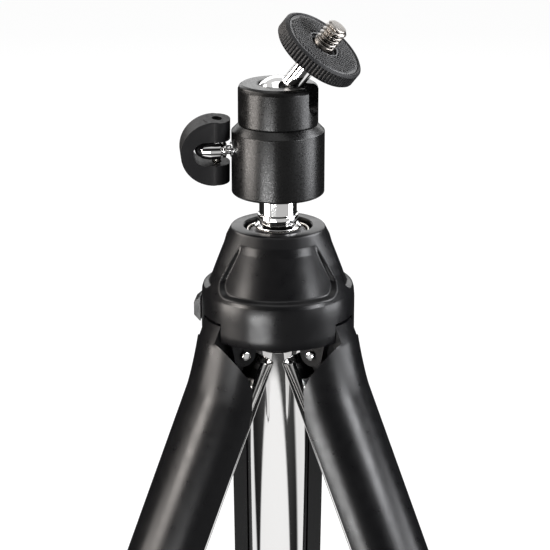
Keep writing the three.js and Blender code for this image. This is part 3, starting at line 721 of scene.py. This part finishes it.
def tube(name, outer, wall, top, bottom):
    return turned(name, rounded([
        (outer - wall, bottom, 0.1), (outer, bottom, 0.2), (outer, top, 0.25),
        (outer - wall, top, 0.1),
    ], closed=True, steps=3), 144)


def leg_inner(side):
    place = leg_frame(side) @ Matrix.Translation((TUBE_X, 0, 0))
    outer = tube(f"tube_{side}", TUBE_RADIUS, 0.8, TUBE_TONGUE_TOP, SHELL_END)
    near, far = TUBE_TONGUE_X - TUBE_X, 20
    corners = [(near, -far), (far, -far), (far, far), (near, far)]
    carve(outer, [slab("outer_side", corners, TUBE_TOP, far)])
    settle(outer, place, f"leg_{side}", "chrome", CHROME, f"leg_tube_{side}")
    inner = tube(f"inner_tube_{side}", EXTENSION_RADIUS, 0.7, EXTENSION_TOP, EXTENSION_END)
    settle(inner, place, f"extension_{side}", "chrome", CHROME, f"extension_tube_{side}")


def end_cap(side):
    top = SHELL_END - GAP
    body = rod(f"end_cap_{side}", SHELL_RADIUS, CAP_END, top, 128)
    body.data.transform(Matrix.Translation((SHELL_X, 0, 0)))
    half = slab("half", [(SHELL_RIM_X, -20), (20, -20), (20, 20), (SHELL_RIM_X, 20)], -140, -120)
    carve(body, [half], "INTERSECT")
    sleeve = rod("sleeve", TUBE_RADIUS, CAP_END, top, 96)
    sleeve.data.transform(Matrix.Translation((TUBE_X, 0, 0)))
    carve(body, [sleeve], "UNION")
    bore = rod("bore", EXTENSION_RADIUS + 0.25, CAP_END - 1, top + 1, 96)
    bore.data.transform(Matrix.Translation((TUBE_X, 0, 0)))
    carve(body, [bore])
    settle(body, leg_frame(side), f"leg_{side}", "black_plastic", PLASTIC,
           f"leg_end_cap_{side}", bevel=0.5, sharp=32)


def foot(side):
    top = CAP_END - GAP
    profile = rounded([
        (0, -150), (FOOT_RADIUS, -150), (FOOT_RADIUS, top - 1.6, 0.3),
        (FOOT_RADIUS - 0.5, top - 1.6, 0.1), (FOOT_RADIUS - 0.5, top - 1, 0.1),
        (FOOT_RADIUS - 0.1, top - 1, 0.1), (FOOT_RADIUS - 0.1, top, 0.4), (8.4, top, 0.1),
        (8.4, top - 2), (0, top - 2),
    ])
    body = turned(f"rubber_foot_{side}", profile, 96, closed=False)
    below = slab("below", [(-30, -30), (30, -30), (30, 30), (-30, 30)], -30, 0)
    below.data.transform(Matrix.Translation((0, 0, FOOT_AXIS_END))
                         @ Matrix.Rotation(SPLAY, 4, "Y"))
    carve(body, [below])
    place = leg_frame(side) @ Matrix.Translation((TUBE_X, 0, 0))
    settle(body, place, f"extension_{side}", "rubber", RUBBER, f"foot_{side}", bevel=0.5)


def carried_over():
    """Pieces that sit inside others keep their CAD shape."""
    looks = {"ball_seat": NYLON, "pressure_pin": STEEL, "post_nut": STEEL}
    for side in LEGS:
        looks[f"tube_plug_{side}"] = NYLON
        looks[f"plug_screw_{side}"] = STEEL
        looks[f"extension_plug_{side}"] = NYLON
    for name, material in looks.items():
        node = frame["nodes"][name]
        node.data.materials.clear()
        node.data.materials.append(material)


# ---- Stage --------------------------------------------------------------------------------
def floor():
    size = 6.0
    plane = solid("floor", [(-size, -size, 0), (size, -size, 0), (size, size, 0), (-size, size, 0)],
                  [(0, 1, 2, 3)])
    look = Finish("floor_white", (0.06, 0.06, 0.06), 0.9, Specular_IOR_Level=0)
    look.spread(look.noise(40, 2), "Roughness", 0.85, 0.95)
    look.shader.inputs["Emission Color"].default_value = (1, 1, 1, 1)
    look.shader.inputs["Emission Strength"].default_value = 0.92
    plane.data.materials.append(look.material)
    plane.visible_glossy = False


def panel(name, azimuth, distance, width, low, high, radiance, color=(1, 1, 1), tilt=0):
    """A soft light that stands round the object; azimuth 0 is on the camera's side."""
    a, e = math.radians(azimuth), math.radians(tilt)
    side = Vector((math.sin(a), -math.cos(a), 0))
    lamp = bpy.data.lights.new(name, "AREA")
    lamp.shape = "RECTANGLE"
    lamp.size, lamp.size_y = width, high - low
    lamp.energy = radiance * math.pi * width * (high - low)
    lamp.color = color
    light = bpy.data.objects.new(name, lamp)
    axis = HUB.translation
    light.location = (axis.x + side.x * distance, axis.y + side.y * distance, (low + high) / 2)
    facing = side * math.cos(e) + Vector((0, 0, math.sin(e)))
    light.rotation_mode = "QUATERNION"
    light.rotation_quaternion = facing.to_track_quat("Z", "Y")
    light.visible_camera = False
    bpy.context.scene.collection.objects.link(light)


def lights():
    warm, cool = (1, 0.94, 0.89), (0.96, 0.97, 1)
    panel("key_low", -73, 0.55, 0.3, 0, 0.13, 33, warm)
    panel("key_middle", -59, 0.55, 0.18, 0.17, 0.28, 62, warm)
    panel("key_upper", -70, 0.55, 0.34, 0.34, 0.9, 6, warm)
    panel("strip", -27, 0.5, 0.25, -0.04, 0.035, 84)
    panel("fill_low", 85, 0.55, 0.28, 0, 0.13, 22, cool)
    panel("fill_middle", 58, 0.55, 0.17, 0.17, 0.27, 74, cool)
    panel("fill_upper", 74, 0.55, 0.36, 0.34, 0.9, 4, cool)
    panel("rim_left", -104, 0.55, 0.36, 0.34, 0.8, 14, warm)
    panel("rim_right", 103, 0.55, 0.36, 0.34, 0.8, 24, cool)
    panel("back", 180, 0.9, 1.2, 0.25, 0.9, 2.5, tilt=20)
    panel("top", 0, 0.05, 0.7, 0.8, 1.5, 3, tilt=88)
    studio()
    bpy.context.scene.view_settings.view_transform = "Standard"


def studio():
    """The room: bright straight below, overhead and on the camera's side, and dark elsewhere.

    Looked at directly it is plain and pale, like the floor.
    """
    world = bpy.data.worlds.new("studio")
    world.use_nodes = True
    tree = world.node_tree
    place = tree.nodes.new("ShaderNodeTexCoord")

    def ramp(direction, start, end, low, high):
        """Goes from low to high as the view turns towards the direction."""
        share = tree.nodes.new("ShaderNodeVectorMath")
        share.operation = "DOT_PRODUCT"
        share.inputs[1].default_value = direction
        tree.links.new(place.outputs["Generated"], share.inputs[0])
        node = tree.nodes.new("ShaderNodeMapRange")
        node.interpolation_type = "SMOOTHSTEP"
        for socket, value in zip(("From Min", "From Max", "To Min", "To Max"),
                                 (start, end, low, high)):
            node.inputs[socket].default_value = value
        tree.links.new(share.outputs["Value"], node.inputs["Value"])
        return node.outputs["Result"]

    def combine(operation, first, *others):
        for other in others:
            node = tree.nodes.new("ShaderNodeMath")
            node.operation = operation
            tree.links.new(first, node.inputs[0])
            tree.links.new(other, node.inputs[1])
            first = node.outputs["Value"]
        return first

    front = combine("MULTIPLY", ramp((0, -1, 0), -0.3, 0.6, 0, 1),
                    ramp((0, 0, -1), -0.05, 0.2, 0, 0.7), ramp((0, 0, -1), 0.62, 0.45, 0.1, 1))
    below = ramp((-0.09, 0, -1), 0.83, 0.86, 0.02, 1.25)
    behind = combine("MULTIPLY", ramp((0.4, 1, 0), 0.06, 0.16, 0, 1.1),
                     ramp((0, 0, -1), 0.49, 0.53, 0, 1), ramp((0, 0, -1), 0.76, 0.7, 0, 1))
    overhead = ramp((0, 0, 1), 0.35, 0.6, 0, 0.9)
    total = combine("ADD", front, below, behind, overhead)
    pale = tree.nodes.new("ShaderNodeMix")
    tree.links.new(tree.nodes.new("ShaderNodeLightPath").outputs["Is Camera Ray"],
                   pale.inputs["Factor"])
    tree.links.new(total, pale.inputs["A"])
    pale.inputs["B"].default_value = 0.96
    tree.links.new(pale.outputs["Result"], tree.nodes["Background"].inputs["Strength"])
    tree.nodes["Background"].inputs["Color"].default_value = (1, 1, 1, 1)
    bpy.context.scene.world = world


def camera():
    """Looks along +Y and down, with the legs running out of the bottom of the frame."""
    distance, aside, above_barrel, pitch, lens = 520, -0.85, 147.5, 18.3, 126.1
    data = bpy.data.cameras.new("camera")
    data.lens, data.sensor_width = lens, 36
    data.clip_start, data.clip_end = 0.05, 50
    view = bpy.data.objects.new("camera", data)
    view.location = HUB @ Vector((aside, -distance, BARREL_BOTTOM + above_barrel))
    view.rotation_euler = (math.radians(90 - pitch), 0, 0)
    bpy.context.scene.collection.objects.link(view)
    bpy.context.scene.camera = view


def build():
    ball_stem()
    camera_stud()
    platform_disc()
    platform_pad()
    collar()
    barrel()
    lock_screw()
    bail()
    post()
    bearing()
    crown()
    crown_trim()
    for side in LEGS:
        leg_shell(side)
        leg_inner(side)
        end_cap(side)
        foot(side)
    carried_over()


camera()
build()
floor()
lights()
